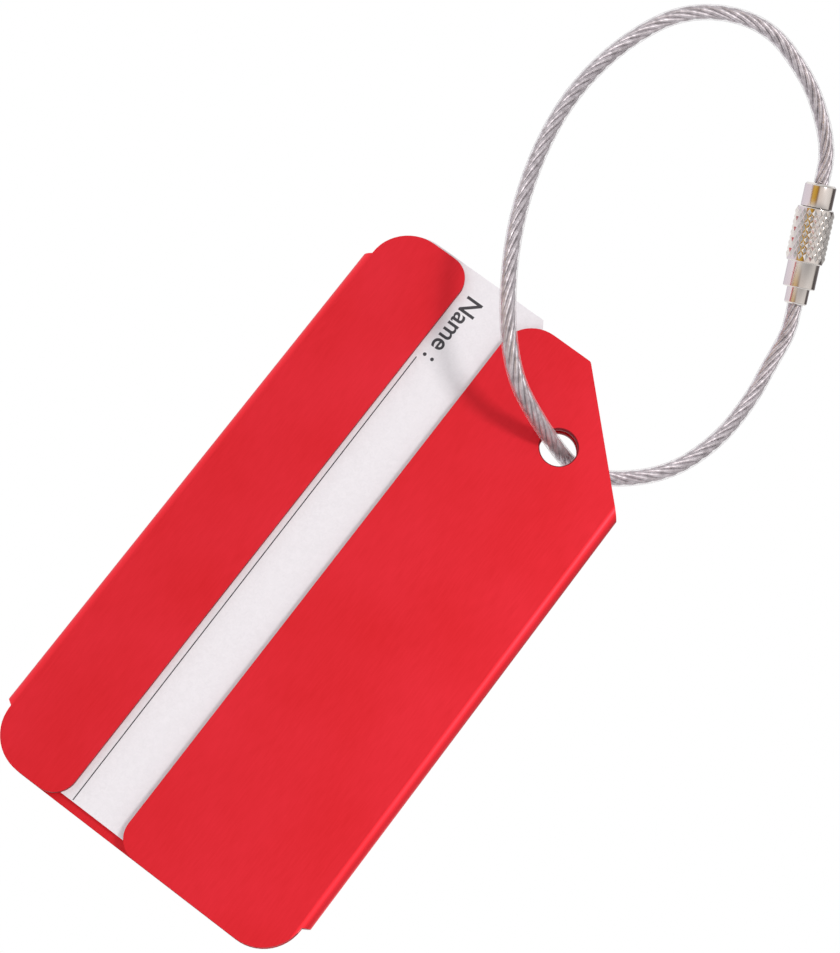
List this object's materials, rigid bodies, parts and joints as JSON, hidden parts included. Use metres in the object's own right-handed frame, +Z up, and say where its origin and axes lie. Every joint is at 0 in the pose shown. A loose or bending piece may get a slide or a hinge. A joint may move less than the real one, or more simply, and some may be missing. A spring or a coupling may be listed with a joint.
{
  "type": "luggage tag",
  "caption": "Folded aluminium luggage tag with a slide-in name card, hung on a coated wire loop that opens at a knurled screw lock.",
  "frame": {"origin": "where the loop hangs on a hook or a handle: the inside of the loop's top", "axes": "+Z up, against gravity, along the tag's longest extent as it hangs; +Y through the tag from its front, with the flaps, to its back; +X to the right seen from the front"},
  "size_m": [0.0736, 0.0301, 0.1284],
  "materials": {
    "red_anodised": "satin red anodised sheet aluminium",
    "card_stock": "smooth white card",
    "coated_rope": "bright stranded stainless wire rope under a clear coat",
    "nickel_plate": "bright nickel plate on turned brass"
  },
  "bodies": {
    "loop": {"coated_wire_rope": "coated_rope", "swivel_ferrule": "nickel_plate"},
    "nut": {"knurled_nut": "nickel_plate"},
    "stud": {"threaded_stud": "nickel_plate"},
    "tag": {"sleeve": "red_anodised"},
    "card": {"card": "card_stock"}
  },
  "joints": [
    {"name": "tag_swing", "type": "hinge", "parent": "loop", "child": "tag", "pos_m": [0.0275, 0, -0.052], "axis": [0, 1, 0], "range_deg": [-150, 95]},
    {"name": "card_slide", "type": "slide", "parent": "tag", "child": "card", "axis": [0.3746, 0, -0.9272], "range_m": [0, 0.08]},
    {"name": "nut_turn", "type": "hinge", "parent": "loop", "child": "nut", "pos_m": [0.0243, 0.013, -0.0131], "axis": [0.6813, 0.3707, -0.6312], "range_deg": [0, 3240]},
    {"name": "stud_draw", "type": "slide", "parent": "loop", "child": "stud", "axis": [-0.6813, -0.3707, 0.6312], "range_m": [0, 0.0045], "deforming": ["coated_wire_rope"]}
  ],
  "couplings": [
    {"joint": "stud_draw", "follows": "nut_turn", "m_per_rad": 0.000079577}
  ]
}
